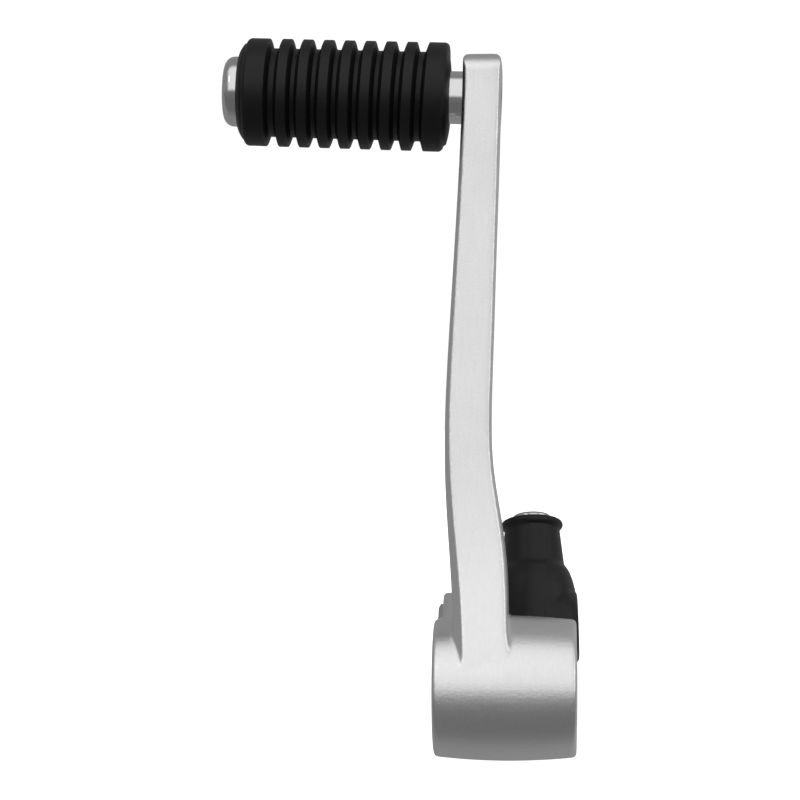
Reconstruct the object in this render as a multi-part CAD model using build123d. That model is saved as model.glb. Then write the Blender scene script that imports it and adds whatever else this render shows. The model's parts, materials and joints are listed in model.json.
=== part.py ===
from build123d import *
import math
import os

# Motorcycle gear shift lever, millimetres.
# Origin: centre of the pivot bore, half way along the hub.
# +X runs along the pivot towards the motorcycle, +Z along the arm towards the foot peg,
# +Y backwards, from the arm towards the ball joint of the shift rod.

os.makedirs("parts", exist_ok=True)

# ---------------------------------------------------------------- driving dimensions
hub_width = 32.5
hub_crown_radius = 16.5
hub_end_radius = 15.6
hub_edge_radius = 1.0

sleeve_radius = 9.0
pivot_bolt_hole_radius = 5.1
sleeve_standout = 0.15
bush_radius = 11.0
bush_length = 11.2
running_clearance = 0.04
seal_radius = 13.0
seal_recess = 4.0
seal_width = 3.6

peg_height = 136.3
peg_depth = 12.8
peg_tilt = 2.0
eye_middle = -5.4
eye_above_peg = 9.95
eye_front_round = 5.6
eye_back_round = 8.0
bevel_depth = 1.4
seam_round = 0.6
eye_left_round = 1.5
eye_right_round = 1.9
spotface_at = 4.3
spotface_radius = 6.6

peg_core_radius = 6.15
peg_head_radius = 8.2
peg_head_length = 4.0
spigot_radius = 4.0
spigot_length = 3.8
rubber_radius = 12.7
rubber_floor_radius = 10.4
rubber_start = 8.6
rubber_end = 55.6
inner_flange_width = 5.1
outer_flange_width = 5.6
rib_count = 7
rib_pitch = 4.84
first_rib = 17.28
rib_tip_width = 2.8
rib_root_width = 3.6

screw_radius = 3.0
screw_head_radius = 5.9
screw_length = 18.0

ball_joint = (6.6, 38.0, 10.3)
ball_radius = 5.0
stud_neck_radius = 3.0
collar_faces = (-5.0, -3.0)
hexagon_across_flats = 10.0
ear_outer_face = -15.7
ear_boss_radius = 8.5
ear_boss_edge = 0.8
ear_root_radius = 12.5
ear_web = (-14.8, -5.8)
nut_recess_floor = -10.3
nut_recess_radius = 6.7
nut_length = 5.0
lock_washer_thickness = 1.6
lock_washer_radius = 5.9

shank_lean = -19.0
shank_side_lean = 2.0
shank_radius = 5.0
shank_end = 28.3
rod_thread_radius = 2.5
rod_thread_depth = 15.0
socket_radius = 8.5
socket_faces = (-4.5, 8.1)
seat_bore_radius = 6.6
seat_stop = -3.6
plate_bore_radius = 7.1
plate_faces = (6.15, 7.15)
snap_ring_at = 7.5
snap_wire_radius = 0.35

boot_faces = (-6.1, 10.5)
boot_radius = 10.2
boot_mouth_radius = 6.1
boot_neck_radius = 6.9
boot_shoulder_height = 16.2
boot_lip_height = 26.1
boot_lip_radius = 7.55
boot_bead_radius = 1.1

thread_gap = 0.02


# ---------------------------------------------------------------- shared shapes
def rounded_face(corners, plane=Plane.XZ):
    """A closed outline of (a, b) or (a, b, radius) corners, each rounded by its radius."""
    count = len(corners)
    flat = [Vector(corner[0], corner[1]) for corner in corners]
    radii = [corner[2] if len(corner) > 2 else 0.0 for corner in corners]
    starts = []
    middles = []
    ends = []
    for index in range(count):
        here = flat[index]
        before = (flat[index - 1] - here).normalized()
        after = (flat[(index + 1) % count] - here).normalized()
        half_angle = math.acos(max(-1.0, min(1.0, before.dot(after)))) / 2
        reach = radii[index] / math.tan(half_angle)
        starts.append(here + before * reach)
        ends.append(here + after * reach)
        inward = radii[index] / math.sin(half_angle) - radii[index]
        middles.append(here + (before + after).normalized() * inward if radii[index] else here)
    place = plane.from_local_coords
    edges = []
    for index in range(count):
        if radii[index]:
            edges.append(ThreePointArc(place(starts[index]), place(middles[index]), place(ends[index])))
        following = starts[(index + 1) % count]
        if (following - ends[index]).length > 1e-6:
            edges.append(Line(place(ends[index]), place(following)))
    return Face(Wire(edges))


def turned(corners):
    """A body turned about the X axis from an outline of (x, radius) corners."""
    return revolve(rounded_face(corners), Axis.X)


def ring(x_low, x_high, inner, outer, edge=0.0):
    """A plain ring about the X axis, its outer edges rounded."""
    return turned([(x_low, inner), (x_high, inner), (x_high, outer, edge), (x_low, outer, edge)])


def rod(x_low, x_high, radius):
    """A plain round bar about the X axis."""
    return turned([(x_low, 0), (x_high, 0), (x_high, radius), (x_low, radius)])


def hexagon_bar(x_low, x_high, across_flats, chamfered):
    """A hexagon about the X axis with one corner up and its corners turned off at the ends."""
    corner_radius = across_flats / math.sqrt(3)
    outline = Plane.YZ.offset(x_low) * RegularPolygon(corner_radius, 6, rotation=30)
    bar = extrude(outline, x_high - x_low)
    if not chamfered:
        return bar
    turned_off = corner_radius - across_flats / 2 * 0.98
    slope = turned_off * math.tan(math.radians(30))
    envelope = turned([
        (x_low, 0),
        (x_high, 0),
        (x_high, corner_radius - turned_off),
        (x_high - slope, corner_radius),
        (x_low + slope, corner_radius),
        (x_low, corner_radius - turned_off),
    ])
    return bar & envelope


def save(node, shape):
    """Write one node's solid to its own file."""
    solids = shape.solids()
    result = solids[0] if len(solids) == 1 else Compound(solids)
    result.label = node
    export_step(result, f"parts/{node}.step")


# ---------------------------------------------------------------- frames of the sloping pieces
tilt = math.radians(peg_tilt)
peg_outward = (-math.cos(tilt), 0, math.sin(tilt))
peg_upward = (math.sin(tilt), 0, math.cos(tilt))
peg_frame = Plane((eye_middle, peg_depth, peg_height), x_dir=peg_outward, z_dir=peg_upward).location
stud_frame = Location((0, ball_joint[1], ball_joint[2]))
swivel_frame = Location(ball_joint) * Location((0, 0, 0), (shank_lean, 0, 0))
socket_frame = swivel_frame * Location((0, 0, 0), (0, -shank_side_lean, 0))


# ---------------------------------------------------------------- lever body
def arm_section(height, left, right, front, back, bevel):
    """One level cut of the arm: bevelled along the left, a shallow facet along the right."""
    facet_width = 2.0
    facet_depth = 0.3
    return rounded_face([
        (left, front + bevel * bevel_depth, 0.35),
        (left + bevel, front, 0.35),
        (right - facet_width, front),
        (right, front + facet_depth, 0.8),
        (right, back, 2.0),
        (left, back, 2.0),
    ], Plane.XY.offset(height))


def arm():
    """The forged arm, which leans back from the hub and joggles sideways above it."""
    sections = [
        arm_section(-6.0, -11.3, 2.4, -12.6, 11.0, 2.2),
        arm_section(8.0, -11.5, 1.7, -14.6, 13.9, 2.1),
        arm_section(22.0, -12.0, 0.5, -9.9, 14.7, 1.9),
        arm_section(36.0, -13.0, -0.7, -6.4, 12.4, 1.5),
        arm_section(50.0, -13.75, -2.8, -4.2, 11.1, 1.15),
        arm_section(64.0, -13.7, -3.25, -2.5, 10.8, 0.95),
        arm_section(78.0, -13.1, -2.85, -0.85, 11.6, 0.9),
        arm_section(92.0, -12.3, -2.45, 0.6, 13.0, 0.85),
        arm_section(106.0, -11.5, -2.05, 1.95, 15.4, 0.8),
        arm_section(120.0, -10.75, -1.65, 3.0, 18.2, 0.75),
        arm_section(134.0, -10.15, -1.3, 3.8, 20.9, 0.7),
        arm_section(148.0, -9.85, -1.0, 4.3, 21.8, 0.7),
    ]
    bar = loft(sections)
    top = peg_height + eye_above_peg
    side_view = rounded_face([
        (-60, -60),
        (60, -60),
        (60, 112),
        (21.9, 112),
        (21.7, top, eye_back_round),
        (4.25, top, eye_front_round),
        (2.0, 112),
        (-60, 112),
    ], Plane.YZ.offset(-40))
    front_view = rounded_face([
        (-60, -60),
        (60, -60),
        (60, 120),
        (-0.9, 120),
        (-1.0, top, eye_right_round),
        (-9.9, top, eye_left_round),
        (-10.9, 120),
        (-60, 120),
    ], Plane.XZ.offset(-60))
    return bar & extrude(side_view, 80) & extrude(front_view, 120)


def hub():
    """The crowned hub, without its bore."""
    half = hub_width / 2
    peak = hub_end_radius + (hub_crown_radius - hub_end_radius) / 0.57
    slope = (peak - hub_end_radius) / half
    crown_round = 0.86 * half / slope
    return turned([
        (-half, 0),
        (half, 0),
        (half, hub_end_radius, hub_edge_radius),
        (0, peak, crown_round),
        (-half, hub_end_radius, hub_edge_radius),
    ])


def ear():
    """The ear behind the hub: a web and a round boss for the ball stud."""
    web_low, web_high = ear_web
    root = Circle(ear_root_radius)
    tip = Pos(ball_joint[1], ball_joint[2]) * Circle(ear_boss_radius - ear_boss_edge)
    outline = make_hull(root.edges() + tip.edges())
    web = extrude(Plane.YZ.offset(web_low) * outline, web_high - web_low)
    boss = stud_frame * ring(ear_outer_face, collar_faces[0], 1.0, ear_boss_radius, ear_boss_edge)
    core = stud_frame * rod(ear_outer_face, collar_faces[0], 2.0)
    return web + boss + core


def lever_body():
    """The aluminium forging with its machined holes."""
    body = arm() + hub()
    body = fillet([edge for edge in body.edges() if seam_of_arm(edge)], seam_round)
    body = body + ear()
    half = hub_width / 2
    body -= rod(-half - 1, half + 1, bush_radius)
    body -= rod(-half - 1, -half + seal_recess, seal_radius)
    body -= rod(half - seal_recess, half + 1, seal_radius)
    body -= stud_frame * rod(ear_outer_face - 1, nut_recess_floor, nut_recess_radius)
    body -= stud_frame * rod(nut_recess_floor - 1, 0, screw_radius + thread_gap)
    body -= peg_frame * rod(spotface_at, spotface_at + 4, spotface_radius)
    body -= peg_frame * rod(spotface_at - spigot_length - 0.2, spotface_at + 1, spigot_radius + thread_gap)
    body -= peg_frame * rod(-8, 1, screw_radius + 0.3)
    body -= peg_frame * countersink(0.15)
    return body


def seam_of_arm(edge):
    """True for the edges where the front and the inner side of the arm grow out of the hub."""
    middle = edge.center()
    reach = math.hypot(middle.Y, middle.Z)
    return -4 < middle.X < hub_width / 2 - 2 and reach < hub_crown_radius + 1.5 and middle.Z > 2


def countersink(clearance):
    """The cone under the head of the peg screw, in the frame of the peg."""
    face_at = -4.05
    radius = screw_head_radius + clearance
    return turned([
        (face_at - 3, 0),
        (face_at + radius, 0),
        (face_at, radius),
        (face_at - 3, radius),
    ])


# ---------------------------------------------------------------- pivot
def pivot_sleeve():
    half = hub_width / 2 + sleeve_standout
    return turned([
        (-half, pivot_bolt_hole_radius),
        (half, pivot_bolt_hole_radius),
        (half, sleeve_radius, 0.4),
        (-half, sleeve_radius, 0.4),
    ])


def bush(side):
    """A plain bush; side is -1 for the outer end of the hub and 1 for the inner end."""
    far = hub_width / 2 - seal_recess - 0.1
    near = far - bush_length
    x_low, x_high = sorted((side * near, side * far))
    return ring(x_low, x_high, sleeve_radius + running_clearance, bush_radius)


def seal(side):
    """A lip seal, open towards the bush, with its lip close to the sleeve."""
    outer_face = hub_width / 2 - 0.2
    inner_face = outer_face - seal_width
    lip = sleeve_radius + 0.08
    corners = [
        (outer_face, lip + 0.9, 0.3),
        (outer_face, seal_radius),
        (inner_face, seal_radius),
        (inner_face, seal_radius - 1.0),
        (outer_face - 1.2, seal_radius - 1.0, 0.3),
        (outer_face - 1.2, lip + 1.6, 0.3),
        (inner_face + 0.5, lip + 0.9),
        (inner_face + 0.5, lip + 0.1),
        (inner_face + 0.9, lip),
        (inner_face + 1.3, lip),
    ]
    mirrored = [(side * corner[0],) + tuple(corner[1:]) for corner in corners]
    return turned(mirrored)


# ---------------------------------------------------------------- foot peg
def peg_core():
    """Peg with a spigot in the eye, a plain shoulder and a rounded head."""
    head_at = rubber_end + 1.0
    start = spotface_at
    body = turned([
        (start - spigot_length, 0),
        (head_at + peg_head_length + 0.5, 0),
        (head_at + peg_head_length, 3.0, 12.0),
        (head_at + peg_head_length, peg_head_radius, 2.2),
        (head_at, peg_head_radius, 0.4),
        (head_at, peg_core_radius),
        (start, peg_core_radius, 0.3),
        (start, spigot_radius),
        (start - spigot_length, spigot_radius),
    ])
    hole = rod(start - spigot_length - 1, start + 15.5, screw_radius)
    drill_point = turned([(start + 15.5, 0), (start + 17.2, 0), (start + 15.5, screw_radius)])
    return peg_frame * (body - hole - drill_point)


def peg_screw():
    """Countersunk screw with a hexagon socket, flush with the arm's inner face."""
    head = countersink(0.0) & rod(-4.0, 8, 9)
    shank = rod(-2, -4.05 + screw_length, screw_radius - thread_gap)
    key_hole = hexagon_bar(-5, -2.1, 4.0, False)
    return peg_frame * (head + shank - key_hole)


def peg_rubber():
    """Rubber sleeve: a wide flange at each end and even ribs between them."""
    inner = peg_core_radius + 0.03
    tip = rib_tip_width / 2
    root = rib_root_width / 2
    corners = [
        (rubber_start - 0.9, inner),
        (rubber_start, rubber_radius, 1.0),
        (rubber_start + inner_flange_width - 0.3, rubber_radius, 0.9),
        (rubber_start + inner_flange_width + 0.3, rubber_floor_radius, 0.4),
    ]
    for rib in range(rib_count):
        middle = first_rib + rib * rib_pitch
        corners += [
            (middle - root, rubber_floor_radius, 0.4),
            (middle - tip, rubber_radius, 0.7),
            (middle + tip, rubber_radius, 0.7),
            (middle + root, rubber_floor_radius, 0.4),
        ]
    corners += [
        (rubber_end - outer_flange_width - 0.3, rubber_floor_radius, 0.4),
        (rubber_end - outer_flange_width + 0.3, rubber_radius, 0.9),
        (rubber_end, rubber_radius, 1.0),
        (rubber_end + 1.5, peg_head_radius + 0.1),
        (rubber_end + 0.95, peg_head_radius + 0.1),
        (rubber_end + 0.95, inner),
    ]
    return peg_frame * turned(corners)


# ---------------------------------------------------------------- ball stud and its fasteners
def ball_stud():
    centre = ball_joint[0]
    ball = Pos(centre, 0, 0) * Sphere(ball_radius)
    neck = rod(collar_faces[1] - 0.5, centre, stud_neck_radius)
    collar = hexagon_bar(*collar_faces, hexagon_across_flats, True)
    end = nut_recess_floor - lock_washer_thickness - nut_length - 0.2
    shank = turned([
        (collar_faces[0] + 0.5, 0),
        (end, 0),
        (end, screw_radius - 0.6),
        (end + 0.6, screw_radius - thread_gap),
        (collar_faces[0] + 0.5, screw_radius - thread_gap),
    ])
    return stud_frame * (ball + neck + collar + shank)


def stud_nut():
    inner_end = nut_recess_floor - lock_washer_thickness
    body = hexagon_bar(inner_end - nut_length, inner_end, hexagon_across_flats, True)
    return stud_frame * (body - rod(-30, 0, screw_radius))


def stud_lock_washer():
    """Split spring washer between the nut and the floor of its recess."""
    x_low = nut_recess_floor - lock_washer_thickness
    body = ring(x_low, nut_recess_floor, screw_radius + 0.1, lock_washer_radius)
    slit = Pos((x_low + nut_recess_floor) / 2, 0, lock_washer_radius) * Box(3, 0.7, 2 * lock_washer_radius - 4)
    return stud_frame * (body - Rot(35, 0, 0) * slit)


def boot_ring():
    """Slip ring on the neck of the stud; the mouth of the boot sits in its groove."""
    x_high = collar_faces[1] + 1.6
    x_low = collar_faces[1] + 0.1
    middle = (x_low + x_high) / 2
    body = ring(x_low, x_high, stud_neck_radius + 0.06, 4.7)
    groove = ring(middle - 0.35, middle + 0.35, 4.1, 6)
    return stud_frame * (body - groove)


# ---------------------------------------------------------------- ball socket
def socket_housing():
    """Ball socket and threaded shank in one piece; the ball enters from the closed side."""
    x_low, x_high = socket_faces
    head = ring(x_low, x_high, 1.0, socket_radius, 0.8)
    shank_bar = Cylinder(shank_radius, shank_end - 6, align=(Align.CENTER, Align.CENTER, Align.MIN))
    shank = Pos(0, 0, 6) * chamfer(shank_bar.edges().sort_by(Axis.Z)[-1], 0.6)
    body = head + shank
    body -= rod(x_low - 1, x_high + 1, 4.7)
    body -= rod(seat_stop, x_high + 1, seat_bore_radius)
    body -= rod(plate_faces[0], x_high + 1, plate_bore_radius)
    groove_half = snap_wire_radius + 0.03
    body -= rod(snap_ring_at - groove_half, snap_ring_at + groove_half, plate_bore_radius + snap_wire_radius)
    thread = Cylinder(rod_thread_radius, rod_thread_depth, align=(Align.CENTER, Align.CENTER, Align.MAX))
    body -= Pos(0, 0, shank_end) * thread
    return socket_frame * body


def ball_seat(x_low, x_high, opening_radius):
    """Half of the plastic seat round the ball."""
    body = ring(x_low, x_high, opening_radius, seat_bore_radius - 0.02)
    return socket_frame * (body - Rot(0, 90, 0) * Sphere(ball_radius + 0.05))


def seat_spring():
    """Cone spring washer that presses the two halves of the seat on the ball."""
    rim = plate_faces[0] - 1.1
    crown = plate_faces[0] - 0.05
    return socket_frame * turned([
        (rim, 6.3),
        (rim + 0.4, 6.3),
        (crown, 3.4),
        (crown - 0.4, 3.4),
    ])


def closing_plate():
    x_low, x_high = plate_faces
    return socket_frame * turned([
        (x_low, 0),
        (x_high, 0),
        (x_high, plate_bore_radius - 0.05, 0.2),
        (x_low, plate_bore_radius - 0.05),
    ])


def snap_ring():
    """Open wire ring in the groove outside the closing plate."""
    wire = Pos(snap_ring_at, 0, plate_bore_radius) * (Plane.XZ * Circle(snap_wire_radius - 0.01))
    body = revolve(wire, Axis.X)
    gap = Pos(snap_ring_at, 0, -plate_bore_radius) * Box(2, 3.2, 3)
    return socket_frame * (body - gap)


def boot():
    """Rubber boot over the socket: bulb, shoulder, neck and a rolled lip at the shank."""
    x_low, x_high = boot_faces
    bulb = turned([
        (x_low, 0),
        (x_high, 0),
        (x_high, 8.2, 1.6),
        (x_high - 2.6, boot_radius, 3.0),
        (x_low + 3.4, boot_radius, 3.0),
        (x_low, 7.8, 0.8),
    ])
    upright = Plane.XZ
    neck = revolve(rounded_face([
        (0, -4.0),
        (boot_radius, -4.0, 2.0),
        (boot_radius, 6.5, 5.0),
        (boot_radius - 1.1, 11.5, 3.0),
        (boot_neck_radius, boot_shoulder_height, 0.6),
        (boot_neck_radius - 0.8, boot_lip_height - 1.5),
        (boot_neck_radius - 0.8, boot_lip_height),
        (0, boot_lip_height),
    ], upright), Axis.Z)
    neck -= Pos(x_low, 0, 0) * Box(9, 30, 26, align=(Align.MAX, Align.CENTER, Align.CENTER))
    bead_middle = boot_lip_radius - boot_bead_radius
    lip = revolve(Pos(bead_middle, 0, boot_lip_height) * (upright * Circle(boot_bead_radius)), Axis.Z)
    body = bulb + neck + lip
    body -= rod(socket_faces[0] - 0.05, socket_faces[1] + 0.1, socket_radius + 0.1)
    body -= turned([
        (x_low - 1, 0),
        (socket_faces[0], 0),
        (socket_faces[0], 7.2),
        (x_low - 1, boot_mouth_radius),
    ])
    body -= Cylinder(shank_radius + 0.03, 60, align=(Align.CENTER, Align.CENTER, Align.MIN))
    return socket_frame * body


# ---------------------------------------------------------------- write every node
save("lever_body", lever_body())
save("pivot_sleeve", pivot_sleeve())
save("bush_outer", bush(-1))
save("bush_inner", bush(1))
save("seal_outer", seal(-1))
save("seal_inner", seal(1))
save("peg_core", peg_core())
save("peg_rubber", peg_rubber())
save("peg_screw", peg_screw())
save("ball_stud", ball_stud())
save("stud_nut", stud_nut())
save("stud_lock_washer", stud_lock_washer())
save("boot_ring", boot_ring())
save("socket_housing", socket_housing())
save("ball_seat_inner", ball_seat(0.2, 5.0, 2.4))
save("ball_seat_outer", ball_seat(seat_stop, -0.2, 4.45))
save("seat_spring", seat_spring())
save("closing_plate", closing_plate())
save("snap_ring", snap_ring())
save("boot", boot())
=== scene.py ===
import json
import math

import bmesh
import bpy
from mathutils import Matrix, Vector


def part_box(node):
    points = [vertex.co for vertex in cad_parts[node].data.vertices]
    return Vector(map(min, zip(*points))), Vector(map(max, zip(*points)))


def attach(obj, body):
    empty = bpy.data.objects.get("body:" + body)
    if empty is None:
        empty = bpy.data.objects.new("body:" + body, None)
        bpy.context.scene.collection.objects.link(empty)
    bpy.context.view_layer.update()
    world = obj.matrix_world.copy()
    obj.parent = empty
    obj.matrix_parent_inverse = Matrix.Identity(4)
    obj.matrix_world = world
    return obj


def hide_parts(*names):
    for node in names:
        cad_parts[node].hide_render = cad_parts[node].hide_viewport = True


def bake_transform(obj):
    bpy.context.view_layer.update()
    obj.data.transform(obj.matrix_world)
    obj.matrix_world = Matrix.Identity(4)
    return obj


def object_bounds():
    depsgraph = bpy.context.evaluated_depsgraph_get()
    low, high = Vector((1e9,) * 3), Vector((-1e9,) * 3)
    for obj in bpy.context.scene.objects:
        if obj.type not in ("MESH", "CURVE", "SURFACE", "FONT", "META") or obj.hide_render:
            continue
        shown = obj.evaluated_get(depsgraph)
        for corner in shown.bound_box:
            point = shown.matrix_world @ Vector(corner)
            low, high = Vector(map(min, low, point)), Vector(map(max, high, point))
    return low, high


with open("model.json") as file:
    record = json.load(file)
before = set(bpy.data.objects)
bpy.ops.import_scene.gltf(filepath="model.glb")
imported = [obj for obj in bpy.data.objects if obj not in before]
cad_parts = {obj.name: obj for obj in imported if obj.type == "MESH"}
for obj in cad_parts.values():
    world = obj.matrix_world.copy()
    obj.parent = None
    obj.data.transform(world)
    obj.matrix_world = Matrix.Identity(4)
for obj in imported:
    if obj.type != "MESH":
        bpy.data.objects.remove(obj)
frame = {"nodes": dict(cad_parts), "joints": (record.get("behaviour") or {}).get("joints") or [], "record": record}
cad_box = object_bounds()

MM = 0.001
NODES = frame["nodes"]
JOINTS = {joint["name"]: joint for joint in frame["joints"]}


# ---------------------------------------------------------------- places taken from the frame
def middle_of(node):
    low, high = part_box(node)
    return (low + high) / 2


def turned_frame(origin, x_axis, z_hint):
    """Matrix of a frame whose X axis is the axis of a turned part."""
    x_axis = Vector(x_axis).normalized()
    y_axis = Vector(z_hint).cross(x_axis).normalized()
    z_axis = x_axis.cross(y_axis)
    turn = Matrix((x_axis, y_axis, z_axis)).transposed().to_4x4()
    return Matrix.Translation(origin) @ turn


PEG_TILT = math.radians(2.0)
GRIP_MIDDLE = middle_of("peg_rubber")
PEG_FRAME = turned_frame(GRIP_MIDDLE, (-math.cos(PEG_TILT), 0, math.sin(PEG_TILT)), (0, 0, 1))

BALL_CENTRE = Vector(JOINTS["socket_swivel"]["pos_m"])
TILT_AXIS = Vector(JOINTS["socket_tilt"]["axis"]).normalized()
SHANK_SIDE_LEAN = math.radians(2.0)
SWIVEL_FRAME = turned_frame(BALL_CENTRE, (1, 0, 0), Vector((1, 0, 0)).cross(TILT_AXIS))
SOCKET_FRAME = SWIVEL_FRAME @ Matrix.Rotation(-SHANK_SIDE_LEAN, 4, "Y")
STUD_FRAME = Matrix.Translation((0, BALL_CENTRE.y, BALL_CENTRE.z))
HUB_FRAME = Matrix.Identity(4)

HUB_HALF = 16.25


# ---------------------------------------------------------------- node helpers
class Tree:
    """Short words for building a node tree."""

    def __init__(self, tree):
        self.tree = tree

    def add(self, kind, **settings):
        node = self.tree.nodes.new(kind)
        for name, value in settings.items():
            setattr(node, name, value)
        return node

    def join(self, source, target):
        self.tree.links.new(source, target)

    def put(self, socket, value):
        if isinstance(value, bpy.types.NodeSocket):
            self.join(value, socket)
        else:
            socket.default_value = value

    def math(self, operation, first, second=0.0, third=0.0):
        node = self.add("ShaderNodeMath", operation=operation)
        for socket, value in zip(node.inputs, (first, second, third)):
            self.put(socket, value)
        return node.outputs[0]

    def ramp(self, value, low, high, out_low=0.0, out_high=1.0, soft=True):
        node = self.add("ShaderNodeMapRange")
        node.interpolation_type = "SMOOTHSTEP" if soft else "LINEAR"
        for socket, given in zip(node.inputs, (value, low, high, out_low, out_high)):
            self.put(socket, given)
        return node.outputs[0]

    def window(self, value, dark_below, full_above, full_below, dark_above):
        """1 between the two middle values, fading to 0 at the outer ones."""
        rising = self.ramp(value, dark_below, full_above)
        falling = self.ramp(value, full_below, dark_above, 1.0, 0.0)
        return self.math("MULTIPLY", rising, falling)


class Finish(Tree):
    """A material on the principled shader, with patterns on Object coordinates."""

    def __init__(self, name, **uniform):
        self.material = bpy.data.materials.new(name)
        self.material.use_nodes = True
        super().__init__(self.material.node_tree)
        self.shader = self.tree.nodes["Principled BSDF"]
        for socket, value in uniform.items():
            self.shader.inputs[socket.replace("_", " ")].default_value = value
        self.where = self.add("ShaderNodeTexCoord").outputs["Object"]

    def stretched(self, stretch):
        node = self.add("ShaderNodeMapping")
        self.join(self.where, node.inputs["Vector"])
        node.inputs["Scale"].default_value = stretch
        return node.outputs["Vector"]

    def noise(self, scale, detail=2.0, roughness=0.5, stretch=None):
        node = self.add("ShaderNodeTexNoise")
        self.join(self.stretched(stretch) if stretch else self.where, node.inputs["Vector"])
        node.inputs["Scale"].default_value = scale
        node.inputs["Detail"].default_value = detail
        node.inputs["Roughness"].default_value = roughness
        return node.outputs["Fac"]

    def part_of_place(self, part):
        node = self.add("ShaderNodeSeparateXYZ")
        self.join(self.where, node.inputs[0])
        return node.outputs[part]

    def colour_between(self, factor, dark, light):
        node = self.add("ShaderNodeMix", data_type="RGBA")
        self.join(factor, node.inputs["Factor"])
        node.inputs[6].default_value = (*dark, 1)
        node.inputs[7].default_value = (*light, 1)
        self.join(node.outputs[2], self.shader.inputs["Base Color"])

    def roughness_between(self, factor, low, high):
        self.join(self.ramp(factor, 0.25, 0.75, low, high, soft=False), self.shader.inputs["Roughness"])

    def bump(self, *layers):
        """Each layer is (height, depth in metres); they add up."""
        normal = None
        for height, depth in layers:
            node = self.add("ShaderNodeBump")
            node.inputs["Strength"].default_value = 1.0
            node.inputs["Distance"].default_value = depth
            self.join(height, node.inputs["Height"])
            if normal is not None:
                self.join(normal, node.inputs["Normal"])
            normal = node.outputs["Normal"]
        self.join(normal, self.shader.inputs["Normal"])


def grey(value):
    return (value, value, value)


# ---------------------------------------------------------------- finishes
def forged_aluminium():
    """Bead blasted forging, brushed lightly along the arm."""
    finish = Finish("forged_aluminium", Metallic=1.0)
    grain = finish.noise(2300, 3.0, 0.6)
    brush = finish.noise(1500, 2.0, 0.5, (1.0, 1.0, 0.06))
    cloud = finish.noise(60, 3.0, 0.6)
    tone = finish.math("ADD", finish.math("MULTIPLY", grain, 0.35), finish.math("MULTIPLY", brush, 0.65))
    finish.colour_between(tone, grey(0.74), grey(0.86))
    wear = finish.math("ADD", finish.math("MULTIPLY", cloud, 0.5), finish.math("MULTIPLY", grain, 0.5))
    finish.roughness_between(wear, 0.30, 0.38)
    finish.bump((brush, 0.00001), (grain, 0.00004))
    return finish.material


def machined_aluminium():
    """Faces and bores turned on a lathe: fine rings round the pivot."""
    finish = Finish("machined_aluminium", Metallic=1.0)
    grain = finish.noise(1800, 2.0, 0.5, (3.0, 0.6, 0.6))
    finish.colour_between(grain, grey(0.76), grey(0.86))
    finish.roughness_between(grain, 0.2, 0.28)
    finish.bump((grain, 0.000006))
    return finish.material


def polished_steel():
    """Mirror polish with hair-fine wiping marks."""
    finish = Finish("polished_steel", Metallic=1.0)
    haze = finish.noise(400, 3.0, 0.6)
    marks = finish.noise(3000, 2.0, 0.5, (0.1, 1.0, 1.0))
    finish.colour_between(haze, grey(0.66), grey(0.72))
    finish.roughness_between(haze, 0.05, 0.09)
    finish.bump((marks, 0.0000006))
    return finish.material


def plain_steel(name, dark, light, smooth, rough, scale=1600):
    """Ground, plated or oiled steel: the tone, the gloss and the grain differ."""
    finish = Finish(name, Metallic=1.0)
    grain = finish.noise(scale, 3.0, 0.55, (0.4, 1.0, 1.0))
    cloud = finish.noise(180, 3.0, 0.6)
    finish.colour_between(cloud, dark, light)
    finish.roughness_between(grain, smooth, rough)
    finish.bump((grain, 0.000003))
    return finish.material


BOOT_SEAM = 9.3
SEAM_HALF_WIDTH = 0.05
SEAM_FADE = 0.35


def rubber(name, dark, light, smooth, rough, seam=False):
    """Moulded black rubber with a dull skin and a fine pebbled grain; the boot also has a mould seam."""
    finish = Finish(name, Specular_IOR_Level=0.3)
    cloud = finish.noise(90, 4.0, 0.6)
    skin = finish.noise(1400, 3.0, 0.6)
    finish.colour_between(cloud, dark, light)
    finish.roughness_between(skin, smooth, rough)
    layers = [(cloud, 0.00006), (skin, 0.000012)]
    if seam:
        away = finish.math("ABSOLUTE", finish.math("SUBTRACT", finish.part_of_place(0), BOOT_SEAM * MM))
        layers.append((finish.ramp(away, SEAM_HALF_WIDTH * MM, SEAM_FADE * MM, 1.0, 0.0), 0.00005))
    finish.bump(*layers)
    return finish.material


def bronze():
    """Sintered bronze: open pores in a warm dull metal."""
    finish = Finish("bronze", Metallic=1.0)
    pores = finish.noise(3200, 2.0, 0.7)
    finish.colour_between(pores, (0.36, 0.23, 0.11), (0.62, 0.43, 0.22))
    finish.roughness_between(pores, 0.35, 0.5)
    finish.bump((pores, 0.00001))
    return finish.material


def nylon():
    """Natural nylon, waxy and slightly uneven."""
    finish = Finish("nylon", Specular_IOR_Level=0.45)
    cloud = finish.noise(220, 3.0, 0.5)
    finish.colour_between(cloud, (0.66, 0.63, 0.55), (0.76, 0.74, 0.67))
    finish.roughness_between(cloud, 0.38, 0.48)
    finish.bump((cloud, 0.00002))
    return finish.material


FINISHES = {
    "forged_aluminium": forged_aluminium(),
    "machined_aluminium": machined_aluminium(),
    "polished_steel": polished_steel(),
    "ground_steel": plain_steel("ground_steel", grey(0.5), grey(0.6), 0.16, 0.26),
    "zinc_steel": plain_steel("zinc_steel", (0.55, 0.56, 0.58), (0.68, 0.69, 0.7), 0.18, 0.3, 900),
    "spring_steel": plain_steel("spring_steel", grey(0.2), grey(0.3), 0.25, 0.4),
    "peg_rubber": rubber("peg_rubber", grey(0.004), grey(0.008), 0.40, 0.52),
    "boot_rubber": rubber("boot_rubber", grey(0.008), grey(0.013), 0.36, 0.5, seam=True),
    "seal_rubber": rubber("seal_rubber", grey(0.012), grey(0.02), 0.4, 0.55),
    "bronze": bronze(),
    "nylon": nylon(),
}


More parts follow.
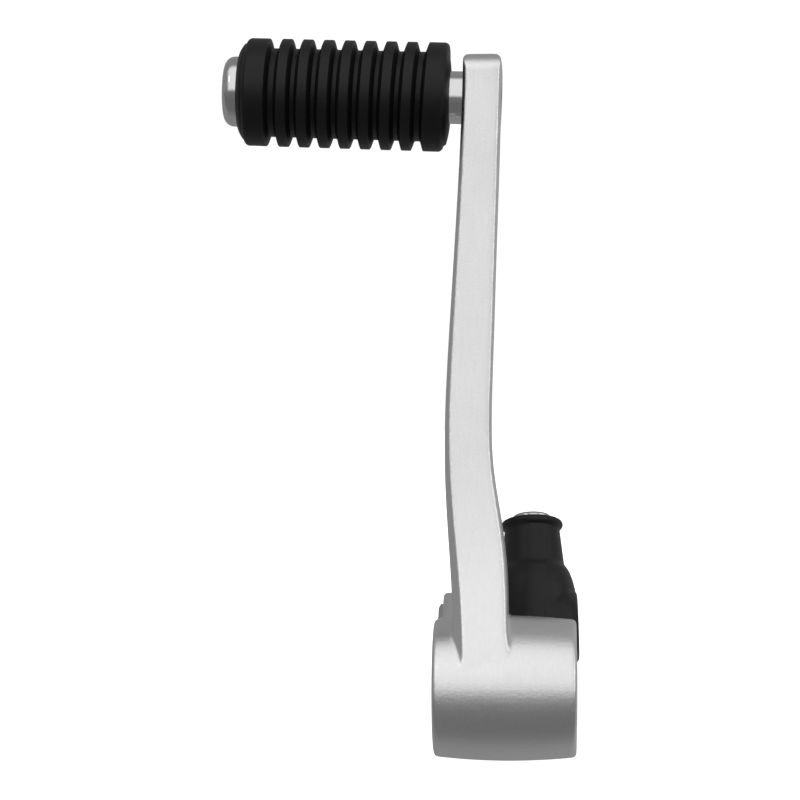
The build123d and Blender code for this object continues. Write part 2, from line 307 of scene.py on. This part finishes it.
def finish_cad_nodes():
    """Every carried-over CAD node gets the finish of its own slot."""
    for entry in frame["record"]["subparts"]:
        node = NODES[entry["node"]]
        for index in range(len(node.material_slots)):
            node.material_slots[index].material = FINISHES[entry["material_slot"]]


# ---------------------------------------------------------------- mesh helpers
def mesh_piece(name, points, faces, finish, sharp_angle=40):
    mesh = bpy.data.meshes.new(name)
    mesh.from_pydata([tuple(point) for point in points], [], faces)
    mesh.validate()
    return piece_from_mesh(name, mesh, finish, sharp_angle)


def piece_from_mesh(name, mesh, finish, sharp_angle=40):
    piece = bpy.data.objects.new(name, mesh)
    bpy.context.scene.collection.objects.link(piece)
    if finish:
        mesh.materials.clear()
        mesh.materials.append(FINISHES[finish])
    smooth_shaded(mesh, sharp_angle)
    return piece


def smooth_shaded(mesh, sharp_angle):
    mesh.polygons.foreach_set("use_smooth", [True] * len(mesh.polygons))
    mesh.set_sharp_from_angle(angle=math.radians(sharp_angle))
    mesh.update()


def rounded_outline(corners, step=math.radians(9)):
    """Points of a closed outline of (a, b) or (a, b, radius) corners, the radii as short chords."""
    points = []
    count = len(corners)
    for index, corner in enumerate(corners):
        here = Vector(corner[:2])
        radius = corner[2] if len(corner) > 2 else 0.0
        if not radius:
            points.append(here)
            continue
        before = (Vector(corners[index - 1][:2]) - here).normalized()
        after = (Vector(corners[(index + 1) % count][:2]) - here).normalized()
        half_angle = math.acos(max(-1.0, min(1.0, before.dot(after)))) / 2
        start = here + before * radius / math.tan(half_angle)
        centre = here + (before + after).normalized() * radius / math.sin(half_angle)
        sweep = math.pi - 2 * half_angle
        side = 1 if before.x * after.y - before.y * after.x < 0 else -1
        steps = max(2, int(sweep / step) + 1)
        arm = start - centre
        for turn in range(steps + 1):
            angle = side * sweep * turn / steps
            turned = Vector((
                arm.x * math.cos(angle) - arm.y * math.sin(angle),
                arm.x * math.sin(angle) + arm.y * math.cos(angle),
            ))
            points.append(centre + turned)
    return points


def lathe_mesh(corners, place, segments):
    """Vertices and faces of a part turned about X; corners are (x, radius, rounding) in millimetres."""
    points = []
    rings = []
    for spot in rounded_outline(corners):
        if spot.y < 1e-6:
            rings.append([len(points)])
            points.append(place @ (Vector((spot.x, 0, 0)) * MM))
            continue
        rings.append(list(range(len(points), len(points) + segments)))
        for step in range(segments):
            angle = 2 * math.pi * step / segments
            spoke = Vector((spot.x, -spot.y * math.sin(angle), spot.y * math.cos(angle)))
            points.append(place @ (spoke * MM))
    faces = []
    for index, first in enumerate(rings):
        second = rings[(index + 1) % len(rings)]
        if len(first) == 1 and len(second) == 1:
            continue
        for step in range(segments):
            following = (step + 1) % segments
            if len(first) == 1:
                faces.append((first[0], second[following], second[step]))
            elif len(second) == 1:
                faces.append((first[step], first[following], second[0]))
            else:
                faces.append((first[step], first[following], second[following], second[step]))
    return points, faces


def facing_outwards(mesh):
    """Turns every face of a closed mesh outwards."""
    work = bmesh.new()
    work.from_mesh(mesh)
    bmesh.ops.remove_doubles(work, verts=work.verts, dist=1e-7)
    bmesh.ops.recalc_face_normals(work, faces=work.faces)
    work.to_mesh(mesh)
    work.free()


def lathe(name, corners, place, finish, segments=128, sharp_angle=40):
    """A turned piece in its own frame."""
    points, faces = lathe_mesh(corners, place, segments)
    piece = mesh_piece(name, points, faces, finish, sharp_angle)
    facing_outwards(piece.data)
    smooth_shaded(piece.data, sharp_angle)
    return piece


def with_modifiers(name, source, finish, sharp_angle=40):
    """A new piece whose mesh is the source with its modifiers applied; the source goes."""
    evaluated = source.evaluated_get(bpy.context.evaluated_depsgraph_get())
    mesh = bpy.data.meshes.new_from_object(evaluated)
    bpy.data.objects.remove(source)
    return piece_from_mesh(name, mesh, finish, sharp_angle)


def merged_copy(node):
    """A closed copy of a CAD node's mesh, its loose triangles merged."""
    source = NODES[node].data
    points = [vertex.co.copy() for vertex in source.vertices]
    faces = [tuple(polygon.vertices) for polygon in source.polygons]
    copy = mesh_piece(node + "_copy", points, faces, None)
    work = bmesh.new()
    work.from_mesh(copy.data)
    bmesh.ops.remove_doubles(work, verts=work.verts, dist=2e-6)
    work.to_mesh(copy.data)
    work.free()
    return copy


def fused(name, pieces, voxel, rounds, finish):
    """Several closed shells fused into one skin of even quads, its edges softened."""
    work = bmesh.new()
    for piece in pieces:
        work.from_mesh(piece.data)
        bpy.data.objects.remove(piece)
    mesh = bpy.data.meshes.new(name + "_raw")
    work.to_mesh(mesh)
    work.free()
    raw = bpy.data.objects.new(name + "_raw", mesh)
    bpy.context.scene.collection.objects.link(raw)
    remesh = raw.modifiers.new("skin", "REMESH")
    remesh.mode = "VOXEL"
    remesh.voxel_size = voxel * MM
    soften = raw.modifiers.new("soften", "SMOOTH")
    soften.factor = 0.5
    soften.iterations = rounds
    return with_modifiers(name, raw, finish, 60)


def cut(piece, cutters):
    """Machines the piece: each cutter is taken off, and its faces keep the cutter's finish."""
    for cutter in cutters:
        step = piece.modifiers.new("cut", "BOOLEAN")
        step.operation = "DIFFERENCE"
        step.solver = "EXACT"
        step.material_mode = "TRANSFER"
        step.object = cutter
    name = piece.name
    piece.name = name + "_uncut"
    done = with_modifiers(name, piece, None, 32)
    for cutter in cutters:
        bpy.data.objects.remove(cutter)
    return done


# ---------------------------------------------------------------- lever forging
EYE_TO_GRIP = 32.44
HUB_BORE = 13.0
BUSH_BORE = 11.0
SEAL_DEPTH = 4.0
EAR_FACE = -15.7
NUT_RECESS = 6.7
STUD_HOLE = 3.02
EYE_BACK = -4.05
EYE_FACE = 4.3
COUNTERSINK = 6.05
SCREW_HOLE = 3.3
SPIGOT_START = 0.3
SPIGOT_HOLE = 4.02
SPOTFACE = 6.6
CHAMFER = 0.4
OUTSIDE = 3.0


def along_peg(distance_from_eye):
    """Place on the peg's axis counted from the grip's middle, for one counted from the eye."""
    return distance_from_eye - EYE_TO_GRIP


def plug(name, start, end, radius, place):
    """A plain bar that fills a hole before the forging is softened."""
    return lathe(name, [(start, 0), (end, 0), (end, radius), (start, radius)], place, None)


def lever_forging():
    """The forging: the CAD body with its holes filled, softened all over, then machined again."""
    raw = [
        merged_copy("lever_body"),
        plug("hub_plug", -HUB_HALF, HUB_HALF, HUB_BORE + 0.3, HUB_FRAME),
        plug("ear_plug", EAR_FACE, -5, NUT_RECESS + 0.3, STUD_FRAME),
        plug("eye_plug", along_peg(-4.3), along_peg(4.45), SPOTFACE + 0.3, PEG_FRAME),
    ]
    body = fused("lever_forging", raw, 0.4, 5, "forged_aluminium")
    body.data.materials.append(FINISHES["machined_aluminium"])
    cutters = [
        lathe("hub_cutter", hub_outline(), HUB_FRAME, "machined_aluminium", 192),
        lathe("ear_cutter", ear_outline(), STUD_FRAME, "machined_aluminium", 96),
        lathe("eye_cutter", eye_outline(), PEG_FRAME, "machined_aluminium", 96),
    ]
    body = cut(body, cutters)
    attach(body, "lever")
    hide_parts("lever_body")
    return body


def hub_outline():
    """Through bore with a seal seat and a chamfer at each end."""
    outline = []
    for side in (-1, 1):
        mouth = [
            (side * (HUB_HALF + OUTSIDE), 0),
            (side * (HUB_HALF + OUTSIDE), HUB_BORE + CHAMFER + OUTSIDE),
            (side * (HUB_HALF - CHAMFER), HUB_BORE),
            (side * (HUB_HALF - SEAL_DEPTH), HUB_BORE),
            (side * (HUB_HALF - SEAL_DEPTH), BUSH_BORE),
        ]
        outline += mouth if side < 0 else list(reversed(mouth))
    return outline


def ear_outline():
    """Recess of the stud's nut and the hole of its thread."""
    recess_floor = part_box("stud_lock_washer")[1].x / MM
    return [
        (EAR_FACE - OUTSIDE, 0),
        (EAR_FACE - OUTSIDE, NUT_RECESS + CHAMFER + OUTSIDE),
        (EAR_FACE + CHAMFER, NUT_RECESS),
        (recess_floor, NUT_RECESS),
        (recess_floor, STUD_HOLE),
        (0, STUD_HOLE),
        (0, 0),
    ]


def eye_outline():
    """Countersink, screw hole, seat of the peg's spigot and spotface of its shoulder."""
    return [
        (along_peg(-12), 0),
        (along_peg(-12), 14.0),
        (along_peg(EYE_BACK), COUNTERSINK),
        (along_peg(-1.3), SCREW_HOLE),
        (along_peg(SPIGOT_START), SCREW_HOLE),
        (along_peg(SPIGOT_START), SPIGOT_HOLE),
        (along_peg(EYE_FACE), SPIGOT_HOLE),
        (along_peg(EYE_FACE), SPOTFACE),
        (along_peg(9), SPOTFACE),
        (along_peg(9), 0),
    ]


# ---------------------------------------------------------------- foot peg
GRIP_START = 8.6
GRIP_END = 55.6
GRIP_BORE = 6.18
HEAD_RECESS = 8.35
RIM_RADIUS = 11.7
DOME_RINGS = 8
LIP_DEPTH = 0.8


def sleeve_sizes():
    """Named inputs of the ribbed sleeve, in metres."""
    return {
        "Start": along_peg(GRIP_START) * MM,
        "End": along_peg(GRIP_END) * MM,
        "First rib": along_peg(17.28) * MM,
        "Rib pitch": 4.84 * MM,
        "Ribs": 7.0,
        "Rib width": 2.98 * MM,
        "Inner flange": 5.1 * MM,
        "Outer flange": 5.6 * MM,
        "Outer radius": 12.65 * MM,
        "Groove radius": 10.4 * MM,
        "Edge round": 1.2 * MM,
        "Flank": 0.52 * MM,
        "Unevenness": 0.12 * MM,
        "Taper": 0.012,
        "Lean": -0.0265,
        "Fan": 0.030,
    }


def sleeve_tree(sizes):
    """Node tree of the ribbed sleeve: a grid wrapped round X whose radius follows the ribs."""
    tree = bpy.data.node_groups.new("ribbed_sleeve", "GeometryNodeTree")
    for name in sizes:
        tree.interface.new_socket(name, in_out="INPUT", socket_type="NodeSocketFloat")
    tree.interface.new_socket("Finish", in_out="INPUT", socket_type="NodeSocketMaterial")
    tree.interface.new_socket("Geometry", in_out="OUTPUT", socket_type="NodeSocketGeometry")
    t = Tree(tree)
    given = t.add("NodeGroupInput").outputs
    grid = t.add("GeometryNodeMeshGrid")
    grid.inputs["Size X"].default_value = 1.0
    grid.inputs["Size Y"].default_value = 1.0
    grid.inputs["Vertices X"].default_value = 640
    grid.inputs["Vertices Y"].default_value = 121
    spot = t.add("ShaderNodeSeparateXYZ")
    t.join(t.add("GeometryNodeInputPosition").outputs[0], spot.inputs[0])
    share = t.math("ADD", spot.outputs[0], 0.5)
    angle = t.math("MULTIPLY", spot.outputs[1], 2 * math.pi)
    length = t.math("SUBTRACT", given["End"], given["Start"])
    along = t.math("MULTIPLY_ADD", share, length, given["Start"])
    from_start = t.math("SUBTRACT", along, given["Start"])
    from_end = t.math("SUBTRACT", given["End"], along)

    offset = t.math("SUBTRACT", along, given["First rib"])
    number = t.math("ROUND", t.math("DIVIDE", offset, given["Rib pitch"]))
    number = t.math("MAXIMUM", number, 0.0)
    number = t.math("MINIMUM", number, t.math("SUBTRACT", given["Ribs"], 1.0))
    rib_place = t.math("MULTIPLY", number, given["Rib pitch"])
    from_rib = t.math("ABSOLUTE", t.math("SUBTRACT", offset, rib_place))
    outside_rib = t.math("SUBTRACT", from_rib, t.math("MULTIPLY", given["Rib width"], 0.5))
    nearer_end = t.math("MINIMUM", from_start, from_end)
    past_inner = t.math("SUBTRACT", from_start, given["Inner flange"])
    past_outer = t.math("SUBTRACT", from_end, given["Outer flange"])
    outside_flange = t.math("MINIMUM", past_inner, past_outer)
    outside = t.math("MINIMUM", outside_rib, outside_flange)
    solid = t.ramp(outside, t.math("MULTIPLY", given["Flank"], -1.0), given["Flank"], 1.0, 0.0)
    depth = t.math("SUBTRACT", given["Outer radius"], given["Groove radius"])
    radius = t.math("MULTIPLY_ADD", solid, depth, given["Groove radius"])

    short = t.math("MAXIMUM", t.math("SUBTRACT", given["Edge round"], nearer_end), 0.0)
    square = t.math("SUBTRACT", t.math("POWER", given["Edge round"], 2.0), t.math("POWER", short, 2.0))
    drop = t.math("SUBTRACT", given["Edge round"], t.math("SQRT", t.math("MAXIMUM", square, 0.0)))
    radius = t.math("SUBTRACT", radius, drop)

    noise = t.add("ShaderNodeTexNoise", noise_dimensions="3D")
    noise.inputs["Scale"].default_value = 1.0
    noise.inputs["Detail"].default_value = 1.0
    place = t.add("ShaderNodeCombineXYZ")
    t.join(t.math("MULTIPLY", along, 180.0), place.inputs[0])
    t.join(t.math("MULTIPLY", t.math("COSINE", angle), 0.9), place.inputs[1])
    t.join(t.math("MULTIPLY", t.math("SINE", angle), 0.9), place.inputs[2])
    t.join(place.outputs[0], noise.inputs["Vector"])
    uneven = t.math("MULTIPLY", t.math("SUBTRACT", noise.outputs[0], 0.5), given["Unevenness"])
    radius = t.math("ADD", radius, uneven)
    taper = t.math("MULTIPLY", t.math("SUBTRACT", 0.5, share), given["Taper"])
    radius = t.math("MULTIPLY_ADD", radius, taper, radius)

    height = t.math("MULTIPLY", radius, t.math("COSINE", angle))
    width = t.math("MULTIPLY", radius, t.math("SINE", angle))
    lean = t.math("MULTIPLY_ADD", t.math("SUBTRACT", share, 0.5), given["Fan"], given["Lean"])
    fan = t.math("MULTIPLY", height, lean)
    result = t.add("ShaderNodeCombineXYZ")
    t.join(t.math("ADD", along, fan), result.inputs[0])
    t.join(t.math("MULTIPLY", width, -1.0), result.inputs[1])
    t.join(height, result.inputs[2])
    move = t.add("GeometryNodeSetPosition")
    t.join(grid.outputs["Mesh"], move.inputs["Geometry"])
    t.join(result.outputs[0], move.inputs["Position"])
    merge = t.add("GeometryNodeMergeByDistance")
    merge.inputs["Distance"].default_value = 1e-6
    t.join(move.outputs[0], merge.inputs["Geometry"])
    end_of_tree(t, merge.outputs[0], given["Finish"])
    return tree


def end_of_tree(t, geometry, material):
    """Real geometry with its material, as every tree ends."""
    realize = t.add("GeometryNodeRealizeInstances")
    t.join(geometry, realize.inputs[0])
    dress = t.add("GeometryNodeSetMaterial")
    t.join(realize.outputs[0], dress.inputs["Geometry"])
    t.join(material, dress.inputs["Material"])
    output = t.add("NodeGroupOutput")
    t.join(dress.outputs[0], output.inputs[0])


def grown(name, tree, sizes, finish, sharp_angle=60):
    """A plain mesh piece grown by a node tree from its named sizes."""
    seed = bpy.data.objects.new(name + "_seed", bpy.data.meshes.new(name + "_seed"))
    bpy.context.scene.collection.objects.link(seed)
    grow = seed.modifiers.new("grow", "NODES")
    grow.node_group = tree
    for item in tree.interface.items_tree:
        if item.in_out == "INPUT" and item.name in sizes:
            grow[item.identifier] = sizes[item.name]
        elif item.in_out == "INPUT" and item.name == "Finish":
            grow[item.identifier] = FINISHES[finish]
    return with_modifiers(name, seed, finish, sharp_angle)


def peg_sleeve():
    """The ribbed rubber sleeve, its ends domed round the shoulder and the head."""
    sizes = sleeve_sizes()
    piece = grown("peg_sleeve", sleeve_tree(sizes), sizes, "peg_rubber")
    work = bmesh.new()
    work.from_mesh(piece.data)
    ends = []
    for side, dome, bore in ((-1, 0.9, GRIP_BORE), (1, 1.7, HEAD_RECESS)):
        rim = [edge for edge in work.edges if edge.is_boundary and edge.verts[0].co.x * side > 0]
        loop = rim
        flat_at = sum(edge.verts[0].co.x for edge in rim) / len(rim)
        for ring in range(1, DOME_RINGS + 1):
            share = ring / DOME_RINGS
            radius = RIM_RADIUS + (bore - RIM_RADIUS) * share
            bulge = dome * math.sin(share * math.pi / 2) ** 0.9
            loop = pulled(work, loop, radius * MM, flat_at + side * bulge * MM)
        loop = pulled(work, loop, (bore - 0.05) * MM, flat_at + side * (dome - LIP_DEPTH) * MM)
        ends.append(loop)
    ends[1] = pulled(work, ends[1], GRIP_BORE * MM, ends[1][0].verts[0].co.x)
    bmesh.ops.bridge_loops(work, edges=ends[0] + ends[1])
    bmesh.ops.recalc_face_normals(work, faces=work.faces)
    work.transform(PEG_FRAME)
    work.to_mesh(piece.data)
    work.free()
    smooth_shaded(piece.data, 60)
    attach(piece, "lever")
    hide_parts("peg_rubber")
    return piece


def pulled(work, loop, radius, x):
    """Extrudes a round edge loop to a new radius and place on the X axis."""
    grown_loop = bmesh.ops.extrude_edge_only(work, edges=loop)["geom"]
    points = [item for item in grown_loop if isinstance(item, bmesh.types.BMVert)]
    fresh = set(points)
    for point in points:
        away = Vector((0, point.co.y, point.co.z)).normalized() * radius
        point.co = Vector((x, away.y, away.z))
    return [item for item in grown_loop if isinstance(item, bmesh.types.BMEdge) and set(item.verts) <= fresh]


def peg_core():
    """Steel peg: shoulder against the arm, spindle in the sleeve and polished head."""
    spigot = 4.0
    spindle = 6.15
    head_radius = 8.2
    tip = along_peg(SPIGOT_START + 0.3)
    shoulder = along_peg(EYE_FACE + 0.05)
    head = along_peg(GRIP_END + 1.0)
    piece = lathe("peg_spindle", [
        (tip, 0),
        (tip, spigot, 0.3),
        (shoulder, spigot),
        (shoulder, spindle, 0.45),
        (head, spindle),
        (head, head_radius, 0.5),
        (head + 4.0, head_radius, 2.4),
        (head + 4.25, 4.0, 8.0),
        (head + 4.4, 0),
    ], PEG_FRAME, "polished_steel", 160, 50)
    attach(piece, "lever")
    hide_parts("peg_core")
    return piece


def boot():
    """Rubber boot: bulb over the socket, shoulder, neck and rolled lip, with a funnel to the slip ring."""
    upright = SOCKET_FRAME @ Matrix.Rotation(-math.pi / 2, 4, "Y")
    ring_low, ring_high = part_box("boot_ring")
    funnel_start = (ring_low.x + ring_high.x) / 2 / MM - BALL_CENTRE.x / MM
    solids = [
        lathe("bulb", [
            (-6.1, 0), (10.45, 0), (10.45, 8.2, 1.6), (7.9, 10.2, 3.0), (-2.7, 10.2, 3.0),
            (-6.1, 7.8, 0.8),
        ], SOCKET_FRAME, None),
        lathe("shoulder", [
            (-4.0, 0), (-4.0, 10.0, 3.0), (3.0, 10.3, 3.0), (7.0, 10.3, 3.0), (9.2, 10.05, 4.0),
            (11.7, 9.5, 4.0), (13.8, 8.75, 2.0), (15.5, 7.6), (23.4, 6.9), (25.8, 6.7), (25.8, 0),
        ], upright, None),
        lathe("lip_bead", [
            (24.8, 0), (24.8, 7.65, 1.02), (26.9, 7.65, 1.02), (26.9, 0),
        ], upright, None),
        lathe("funnel", [
            (funnel_start - 0.5, 0), (funnel_start - 0.5, 5.4, 0.6), (funnel_start + 1.6, 5.4, 1.0),
            (-5.0, 7.4, 1.0), (0, 7.4), (0, 0),
        ], SOCKET_FRAME, None),
    ]
    skin = fused("boot", solids, 0.26, 8, "boot_rubber")
    hollow = [
        lathe("housing_room", [
            (-4.55, 0), (8.2, 0), (8.2, 8.55), (-4.55, 8.55),
        ], SOCKET_FRAME, "boot_rubber"),
        lathe("mouth_room", [
            (funnel_start - 3, 0), (funnel_start - 3, 3.9), (funnel_start + 0.9, 3.9), (-4.0, 6.2), (-4.0, 0),
        ], SOCKET_FRAME, "boot_rubber"),
        lathe("shank_room", [
            (0, 0), (0, 5.05), (26.1, 5.05), (28.1, 6.4), (30, 6.4), (30, 0),
        ], upright, "boot_rubber"),
    ]
    piece = cut(skin, hollow)
    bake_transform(piece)
    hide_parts("boot")
    return piece


# ---------------------------------------------------------------- stage
def world_light():
    """A soft studio round the lever: a wide softbox in front and above, dark sides, white beyond."""
    world = bpy.data.worlds.new("studio")
    bpy.context.scene.world = world
    world.use_nodes = True
    t = Tree(world.node_tree)
    t.tree.nodes.clear()
    spot = t.add("ShaderNodeSeparateXYZ")
    t.join(t.add("ShaderNodeTexCoord").outputs["Generated"], spot.inputs[0])
    sideways, away, up = spot.outputs
    rise = t.math("ARCTAN2", up, t.math("MULTIPLY", away, -1.0))
    rise = t.math("DEGREES", rise)
    lateral = t.math("DEGREES", t.math("ARCSINE", sideways))
    box = t.math("MULTIPLY", t.window(rise, -9.0, 6.0, 74.0, 94.0), t.ramp(lateral, -54.0, -26.0))
    box = t.math("MULTIPLY", box, t.ramp(lateral, 20.0, 42.0, 1.0, 0.35))
    box = t.math("MULTIPLY", box, t.ramp(lateral, 58.0, 80.0, 1.0, 0.0))
    strip = t.window(lateral, 40.0, 48.0, 60.0, 74.0)
    strip = t.math("MULTIPLY", strip, t.window(rise, -14.0, 4.0, 74.0, 92.0))
    pane = t.window(lateral, -36.0, -34.0, -26.0, -24.0)
    pane = t.math("MULTIPLY", pane, t.window(rise, 26.0, 30.0, 50.0, 54.0))
    deep = t.math("MULTIPLY", t.ramp(rise, -110.0, -66.0, 1.0, 0.0), t.ramp(rise, -180.0, -179.0))
    above = t.ramp(rise, -40.0, 30.0, 0.0, 1.0)
    beyond = t.math("MULTIPLY", t.ramp(away, 0.0, 0.5), t.ramp(lateral, -10.0, 50.0, 0.0, 1.0))
    light = t.math("ADD", 0.165, t.math("MULTIPLY", t.math("MAXIMUM", deep, above), 0.12))
    for source, strength in ((beyond, 0.16), (box, 0.75), (strip, 0.95), (pane, 0.9)):
        light = t.math("MULTIPLY_ADD", source, strength, light)
    studio = t.add("ShaderNodeBackground")
    studio.inputs["Color"].default_value = (1, 1, 1, 1)
    t.join(light, studio.inputs["Strength"])
    backdrop = t.add("ShaderNodeBackground")
    backdrop.inputs["Color"].default_value = (1, 1, 1, 1)
    backdrop.inputs["Strength"].default_value = 1.05
    chooser = t.add("ShaderNodeMixShader")
    t.join(t.add("ShaderNodeLightPath").outputs["Is Camera Ray"], chooser.inputs[0])
    t.join(studio.outputs[0], chooser.inputs[1])
    t.join(backdrop.outputs[0], chooser.inputs[2])
    t.join(chooser.outputs[0], t.add("ShaderNodeOutputWorld").inputs["Surface"])


def floor():
    """Plain pale floor under the hub."""
    low = cad_box[0].z - 0.2 * MM
    reach = 6.0
    corners = [(-reach, -reach, low), (reach, -reach, low), (reach, reach, low), (-reach, reach, low)]
    piece = mesh_piece("floor", corners, [(0, 1, 2, 3)], None)
    pale = Finish("pale_floor", Roughness=0.9, Specular_IOR_Level=0.0)
    pale.shader.inputs["Base Color"].default_value = (0.85, 0.85, 0.85, 1)
    pale.shader.inputs["Emission Color"].default_value = (1, 1, 1, 1)
    pale.shader.inputs["Emission Strength"].default_value = 1.0
    piece.data.materials.append(pale.material)
    piece.visible_glossy = False
    piece.visible_diffuse = False


def camera():
    """Long lens, level, a little to the right of the arm."""
    azimuth = math.radians(3.5)
    distance = 572.8 * MM
    aim = Vector((-24.1 * MM, 0.0, 65.8 * MM))
    data = bpy.data.cameras.new("camera")
    data.lens = 112.5
    data.sensor_width = 36.0
    eye = bpy.data.objects.new("camera", data)
    bpy.context.scene.collection.objects.link(eye)
    back = Vector((math.sin(azimuth), -math.cos(azimuth), 0))
    eye.location = aim + back * distance
    eye.rotation_mode = "QUATERNION"
    eye.rotation_quaternion = (-back).to_track_quat("-Z", "Y")
    bpy.context.scene.camera = eye


# ---------------------------------------------------------------- build
finish_cad_nodes()
lever_forging()
peg_sleeve()
peg_core()
boot()
world_light()
floor()
camera()
bpy.context.scene.view_settings.view_transform = "Standard"
